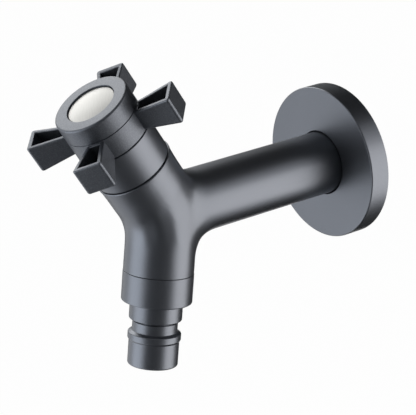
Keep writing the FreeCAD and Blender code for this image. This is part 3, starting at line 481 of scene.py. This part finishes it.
def sharpen_end(mesh, place, level, radius):
    """Bring the rim of a leg, or of the cut barrel, back to a true circle at its level."""
    to_axis = in_millimetres(place)
    for vertex in mesh.verts:
        spot = to_axis @ vertex.co
        out = math.hypot(spot.x, spot.y)
        if level - EDGE_BAND < spot.z < level + EDGE_REACH and abs(out - radius) < SKIN_DEPTH:
            if spot.z > level - EDGE_REACH:
                spot.z = level
            spot.x *= radius / out
            spot.y *= radius / out
            vertex.co = to_axis.inverted() @ spot


def swell_mouth(mesh):
    """Let the leg grow smoothly to the band round its mouth, a little inside that band."""
    to_axis = in_millimetres(valve_place)
    for vertex in mesh.verts:
        spot = to_axis @ vertex.co
        out = math.hypot(spot.x, spot.y)
        if spot.z > cover.near - LIP_FADE and out > cover.outer - SKIN_DEPTH:
            rise = min((spot.z - cover.near + LIP_FADE) / (LIP_FADE - LIP_HEIGHT), 1)
            swell = 1 + (lip_radius - LIP_PROUD - out) * rise ** 2 * (3 - 2 * rise) / out
            spot.x *= swell
            spot.y *= swell
            vertex.co = to_axis.inverted() @ spot


casting = in_even_cells(half_of_body(1))
tail = half_of_body(-1)
barrel_radius = max(math.hypot(vertex.co.x, vertex.co.z) for vertex in tail.verts)
soften(casting)
swell_mouth(casting)
sharpen_end(casting, outlet_place, shoulder_level, nut.outer - HAIR)
sharpen_end(casting, wall_place.inverted(), -BODY_CUT, barrel_radius)
place_piece("body_casting", casting, "tap_body", "dark_coat", Matrix.Identity(4), "valve_body")
place_piece("inlet_tail", tail, "tap_body", "dark_coat", Matrix.Identity(4), "valve_body")

# Union nut under the outlet leg
NUT_LIP = 3.0
NUT_WALL = 1.43
NUT_ROUND = 0.6
place_piece("union_nut", turned([
    (nut.outer - NUT_WALL, nut.near, 0),
    (nut.outer, nut.near, SEAM),
    (nut.outer, nut.far, NUT_ROUND),
    (nut.bore, nut.far, HAIR),
    (nut.bore, nut.far - NUT_LIP, 0),
    (nut.outer - NUT_WALL, nut.far - NUT_LIP, 0)]),
    "tap_body", "dark_coat", outlet_place, "outlet_collar")

# Hose nozzle: a step, the neck and ridge that a connector latches on, and the nose
nozzle = measured("hose_nipple", outlet_place)
ridge_radius = mounts["hose_ridge"]["dims"]["r_mm"]
ridge_length = mounts["hose_ridge"]["dims"]["length_mm"]
nose_radius = mounts["hose_nose"]["dims"]["r_mm"]
STEP_RADIUS = 9.94
STEP_END = 41.3
NECK_RADIUS = 8.53
NECK_LENGTH = 4.4
UNDERCUT_DEPTH = 0.7
UNDERCUT_HEIGHT = 0.8
RIDGE_START = 46.5
RIDGE_FALL = 0.6
NOSE_ROUND = 0.7
place_piece("hose_nozzle", turned([
    (nozzle.bore, nozzle.near, 0),
    (nozzle.outer, nozzle.near, 0),
    (nozzle.outer, nut.far - NUT_LIP, 0),
    (STEP_RADIUS, nut.far - NUT_LIP, 0),
    (STEP_RADIUS, STEP_END, 0.5),
    (NECK_RADIUS - UNDERCUT_DEPTH, STEP_END, 0),
    (NECK_RADIUS - UNDERCUT_DEPTH, STEP_END + UNDERCUT_HEIGHT, 0),
    (NECK_RADIUS, STEP_END + UNDERCUT_HEIGHT, HAIR),
    (NECK_RADIUS, STEP_END + NECK_LENGTH, 0.2),
    (ridge_radius, RIDGE_START, 0.3),
    (ridge_radius, RIDGE_START + ridge_length, 0.25),
    (nose_radius, RIDGE_START + ridge_length + RIDGE_FALL, 0.2),
    (nose_radius, nozzle.far, NOSE_ROUND),
    (nozzle.bore, nozzle.far, 0.3)]),
    "tap_body", "dark_coat", outlet_place, "hose_nipple")

# Wall plate: a shallow cup round the barrel, with a boss that holds the grip ring
plate = measured("escutcheon", wall_place)
PLATE_WALL = 1.6
PLATE_EDGE = 0.6
BOSS_RADIUS = 15.8
BOSS_FOOT = 1.2
GRIP_DEPTH = 1.75
GRIP_NEAR = 3.23
GRIP_FAR = 5.23
place_piece("wall_plate_cup", turned([
    (plate.bore, BOSS_FOOT, 0),
    (BOSS_RADIUS, BOSS_FOOT, HAIR),
    (BOSS_RADIUS, plate.far - PLATE_WALL, 0),
    (plate.outer - PLATE_WALL, plate.far - PLATE_WALL, 0.8),
    (plate.outer - PLATE_WALL, plate.near, HAIR),
    (plate.outer, plate.near, HAIR),
    (plate.outer, plate.far, PLATE_EDGE),
    (plate.bore, plate.far, SOFT_EDGE),
    (plate.bore, GRIP_FAR, 0),
    (plate.bore + GRIP_DEPTH, GRIP_FAR, 0),
    (plate.bore + GRIP_DEPTH, GRIP_NEAR, 0),
    (plate.bore, GRIP_NEAR, 0)]),
    "wall_plate", "dark_coat", wall_place, "escutcheon")

# Cap on the hub, with the bed for the index plate and a groove for its snap ring
cap = measured("handle_cap", handle_place)
index = measured("index_disc", handle_place)
hub = measured("handle_cross", handle_place, cap.outer + HAIR)
arms = measured("handle_cross", handle_place)
CAP_ROUND = 0.8
SPIGOT_RADIUS = 12.3
SNAP_DEPTH = 0.6
SNAP_MARGIN = 0.25
CAP_ROOM = 10.6
CAP_FLOOR = 1.7
INDEX_HEIGHT = 1.3
INDEX_PLAY = 0.1
LINE_HEIGHT = 0.25
LINE_DEPTH = 0.6
index_foot = index.far - INDEX_HEIGHT
place_piece("cap_shell", turned([
    (CAP_ROOM, cap.near, 0),
    (SPIGOT_RADIUS, cap.near, 0),
    (SPIGOT_RADIUS, cap.near + SNAP_MARGIN, 0),
    (SPIGOT_RADIUS - SNAP_DEPTH, cap.near + SNAP_MARGIN, 0),
    (SPIGOT_RADIUS - SNAP_DEPTH, hub.far - SNAP_MARGIN, 0),
    (SPIGOT_RADIUS, hub.far - SNAP_MARGIN, 0),
    (SPIGOT_RADIUS, hub.far, 0),
    (cap.outer - LINE_DEPTH, hub.far, 0),
    (cap.outer - LINE_DEPTH, hub.far + LINE_HEIGHT, 0),
    (cap.outer, hub.far + LINE_HEIGHT, HAIR),
    (cap.outer, cap.far, CAP_ROUND),
    (index.outer + INDEX_PLAY, cap.far, SEAM),
    (index.outer + INDEX_PLAY, index_foot, 0),
    (cap.bore, index_foot, 0),
    (cap.bore, index_foot - CAP_FLOOR, 0),
    (CAP_ROOM, index_foot - CAP_FLOOR, 0)]),
    "handle", "handle_coat", handle_place, "handle_cap")

# Index plate, slightly domed, on its snap stem
INDEX_EDGE = 0.2
INDEX_RISE = 0.3
INDEX_DOME = 0.3
DOME_SHARES = (0.97, 0.8, 0.6, 0.4, 0.2)
STEM_RADIUS = 4.4
STEM_BORE = 3.6
SNAP_STEP = 0.45
SNAP_LENGTH = 0.6
index_top = index.far + INDEX_RISE
place_piece("index_plate", turned([
    (STEM_BORE, index.near, 0),
    (STEM_RADIUS, index.near, 0),
    (STEM_RADIUS + SNAP_STEP, index.near + SNAP_LENGTH, 0),
    (STEM_RADIUS, index.near + SNAP_LENGTH, 0),
    (STEM_RADIUS, index_foot, 0),
    (index.outer, index_foot, 0),
    (index.outer, index_top - INDEX_DOME - INDEX_EDGE, 0),
    *[(index.outer * share, index_top - INDEX_DOME * share ** 2, 0) for share in DOME_SHARES],
    (0, index_top, 0),
    (0, index_foot, 0),
    (STEM_BORE, index_foot, 0)]),
    "handle", "brushed_insert", handle_place, "index_disc")

# Handle: a hub with a web, and four arms that are hollow from above
HUB_RECESS = 12.4
WEB_FOOT = 3.0
WEB_TOP = 6.6
WEB_BORE = 5.6
ARM_ROOT = 13.6
ARM_ROOT_HALF = 3.5
ARM_TIP_HALF = 5.75
ARM_ROOT_DROP = 0.35
ROOT_LIFT = -0.05
ARM_FLOOR = 1.6
ARM_ROUND = 1.2
TOP_ROUND = 0.6
STEEP = 0.95
RIM_ROUND = 0.35
POCKET_ROOT = 15.1
POCKET_ROOT_HALF = 2.1
POCKET_TIP_HALF = 3.8
TIP_WALL = 1.8


def hollow_arms():
    """Four arms round Z, each a wedge that grows toward its tip, with a pocket in its top."""
    mesh = bmesh.new()
    bmesh.ops.create_cube(mesh, size=1)
    rim = max(mesh.faces, key=lambda face: face.calc_center_median().z)
    low_edges = [edge for edge in mesh.edges
                 if any(end.co.x > 0 for end in edge.verts) and edge not in rim.edges[:]]
    for corner in mesh.verts:
        at_tip = corner.co.x > 0
        half = ARM_TIP_HALF if at_tip else ARM_ROOT_HALF
        top = arms.far if at_tip else hub.far - ARM_ROOT_DROP
        foot = arms.near if at_tip else hub.near + ROOT_LIFT
        corner.co = Vector((arms.reach if at_tip else ARM_ROOT, math.copysign(half, corner.co.y),
                            top if corner.co.z > 0 else foot))
    tip_top, root_top = arms.far, hub.far - ARM_ROOT_DROP
    bmesh.ops.inset_individual(mesh, faces=[rim], thickness=RIM_ROUND)
    for corner in rim.verts:
        at_tip = corner.co.x > (ARM_ROOT + arms.reach) / 2
        along = arms.reach - TIP_WALL if at_tip else POCKET_ROOT
        share = (along - ARM_ROOT) / (arms.reach - ARM_ROOT)
        half = POCKET_TIP_HALF if at_tip else POCKET_ROOT_HALF
        corner.co = Vector((along, math.copysign(half, corner.co.y),
                            root_top + (tip_top - root_top) * share))
    pocket_edges = list(rim.edges)
    pocket = bmesh.ops.extrude_discrete_faces(mesh, faces=[rim])["faces"][0]
    for corner in pocket.verts:
        corner.co.z = hub.near + ARM_FLOOR
    round_edges(mesh, low_edges, ARM_ROUND)
    round_edges(mesh, top_outline(mesh, pocket_edges), TOP_ROUND)
    round_edges(mesh, pocket_edges, RIM_ROUND)
    bmesh.ops.spin(mesh, geom=mesh.verts[:] + mesh.edges[:] + mesh.faces[:], axis=(0, 0, 1),
                   angle=math.tau * 3 / 4, steps=3, use_duplicate=True)
    return mesh


def top_outline(mesh, pocket_edges):
    """The edges between the rim of an arm and its outer sides."""
    mesh.normal_update()
    return [edge for edge in mesh.edges
            if edge not in pocket_edges and max(end.co.x for end in edge.verts) > ARM_ROOT
            and min(end.co.z for end in edge.verts) > hub.near + ARM_FLOOR
            and sum(face.normal.z > STEEP for face in edge.link_faces) == 1]


def united(*meshes):
    """One bmesh from two that overlap."""
    pair = []
    for mesh in meshes:
        data = bpy.data.meshes.new("joining")
        mesh.to_mesh(data)
        mesh.free()
        pair.append(bpy.data.objects.new("joining", data))
        bpy.context.scene.collection.objects.link(pair[-1])
    union = pair[0].modifiers.new("union", "BOOLEAN")
    union.operation = "UNION"
    union.solver = "MANIFOLD"
    union.object = pair[1]
    whole = bmesh.new()
    whole.from_object(pair[0], bpy.context.evaluated_depsgraph_get())
    for thing in pair:
        bpy.data.meshes.remove(thing.data)
    return whole


hub_ring = turned([
    (HUB_RECESS, hub.near, HAIR),
    (cap.outer, hub.near, SEAM),
    (cap.outer, hub.far, HAIR),
    (HUB_RECESS, hub.far, 0),
    (HUB_RECESS, hub.near + WEB_TOP, 0),
    (WEB_BORE, hub.near + WEB_TOP, 0),
    (WEB_BORE, hub.near + WEB_FOOT, 0),
    (HUB_RECESS, hub.near + WEB_FOOT, 0)])
place_piece("cross_handle", united(hub_ring, hollow_arms()),
            "handle", "handle_coat", handle_place, "handle_cross")

# Floor, and the light round the object
FLOOR_LEVEL = -1.05
FLOOR_REACH = 12.0
WHITE_SHARE = 0.985


def background_share(graph):
    """1 for the rays that show the background, and 0 for those that light the object."""
    paths = [graph.node("ShaderNodeLightPath", {}, {}, name)
             for name in ("Is Camera Ray", "Is Glossy Ray", "Is Transmission Ray")]
    return graph.node("ShaderNodeClamp", {}, {"Value": paths[0] + paths[1] + paths[2]})


def white_floor(graph):
    """Pale matte floor that still shows a faint shadow where it is seen."""
    matte = graph.node("ShaderNodeBsdfDiffuse", {}, {"Color": colour(0.8, 0.8, 0.8)})
    white = graph.node("ShaderNodeEmission", {}, {"Color": colour(1, 1, 1), "Strength": 1.0})
    share = background_share(graph) * WHITE_SHARE
    return graph.node("ShaderNodeMixShader", {}, {0: share, 1: matte, 2: white})


def matte(shade):
    """A plain card of one shade of grey."""

    def make(graph):
        return graph.node("ShaderNodeBsdfDiffuse", {}, {"Color": colour(shade, shade, shade)})

    return make


def add_stage_piece(name, mesh, material, place=(0, 0, 0)):
    data = bpy.data.meshes.new(name)
    mesh.to_mesh(data)
    mesh.free()
    data.materials.append(material)
    thing = bpy.data.objects.new(name, data)
    thing.location = place
    bpy.context.scene.collection.objects.link(thing)
    return thing


def add_floor():
    mesh = bmesh.new()
    bmesh.ops.create_circle(mesh, cap_ends=True, segments=64, radius=FLOOR_REACH)
    add_stage_piece("floor", mesh, finish_material("white_floor", white_floor), (0, 0, FLOOR_LEVEL))


def light_world():
    world = bpy.data.worlds.new("studio")
    bpy.context.scene.world = world
    graph = Graph(world)
    soft = graph.node("ShaderNodeBackground", {}, {"Color": colour(0.9, 0.95, 1.0), "Strength": 0.2})
    white = graph.node("ShaderNodeBackground", {}, {"Color": colour(1, 1, 1), "Strength": 1.0})
    mixed = graph.node("ShaderNodeMixShader", {}, {0: background_share(graph), 1: soft, 2: white})
    graph.node("ShaderNodeOutputWorld", {}, {"Surface": mixed})


# Places round the object are given by their turn from the camera, to the right, and their height
LAMP_DISTANCE = 0.8
LAMP_WATTS = 4
FLAG_DISTANCE = 0.95
FLAG_STEPS = 16


def softbox(name, turn, height, width, tall, radiance, tint):
    """A rectangular lamp that faces the object. Width and tallness are angles seen from it."""
    lamp = bpy.data.lights.new(name, "AREA")
    lamp.shape = "RECTANGLE"
    lamp.size = 2 * LAMP_DISTANCE * math.tan(math.radians(width / 2))
    lamp.size_y = 2 * LAMP_DISTANCE * math.tan(math.radians(tall / 2))
    lamp.energy = LAMP_WATTS * lamp.size * lamp.size_y * radiance
    lamp.color = tint
    away = toward(CAMERA_AZIMUTH + turn, height)
    thing = bpy.data.objects.new(name, lamp)
    thing.location = CAMERA_TARGET + away * LAMP_DISTANCE
    thing.rotation_mode = "QUATERNION"
    thing.rotation_quaternion = away.to_track_quat("Z", "Y")
    bpy.context.scene.collection.objects.link(thing)


def dark_flag(name, turns, heights, material):
    """A curved dark card that only reflections see, as a photographer sets beside the lens."""
    mesh = bmesh.new()
    azimuth = CAMERA_AZIMUTH + turns[0]
    sideways = toward(azimuth, 0).cross(Vector((0, 0, 1)))
    mesh.verts.new(toward(azimuth, heights[0]) * FLAG_DISTANCE)
    bmesh.ops.spin(mesh, geom=mesh.verts[:], axis=sideways, steps=FLAG_STEPS,
                   angle=math.radians(heights[1] - heights[0]))
    bmesh.ops.spin(mesh, geom=mesh.verts[:] + mesh.edges[:], axis=(0, 0, 1), steps=FLAG_STEPS,
                   angle=math.radians(turns[1] - turns[0]))
    flag = add_stage_piece(name, mesh, material, CAMERA_TARGET)
    flag.visible_camera = False
    flag.visible_diffuse = False
    flag.visible_transmission = False
    flag.visible_shadow = False


add_floor()
light_world()
softbox("right_softbox", 78, -11.5, 50, 60, 1.6, (1.0, 0.96, 0.91))
softbox("left_softbox", -76, -12, 47, 60, 1.25, (0.90, 0.95, 1.0))
softbox("top_softbox", -152, 38, 42, 38, 1.95, (1.0, 0.985, 0.94))
front_grey = finish_material("card_grey", matte(0.25))
flag_black = finish_material("card_black", matte(0.01))
dark_flag("front_flag", (-42, 42), (-89, 60), front_grey)
dark_flag("right_rear_flag", (42, 182), (38, 89), flag_black)
dark_flag("low_right_flag", (105, 165), (-60, 38), flag_black)
dark_flag("rear_flag", (165, 184), (-12, 38), front_grey)
dark_flag("under_flag", (-80, 195), (-89, -54), flag_black)
dark_flag("rear_left_flag", (-180, -148), (-45, 0), front_grey)
dark_flag("top_flag", (-180, -42), (52, 89), flag_black)

bpy.context.scene.view_settings.view_transform = "Standard"
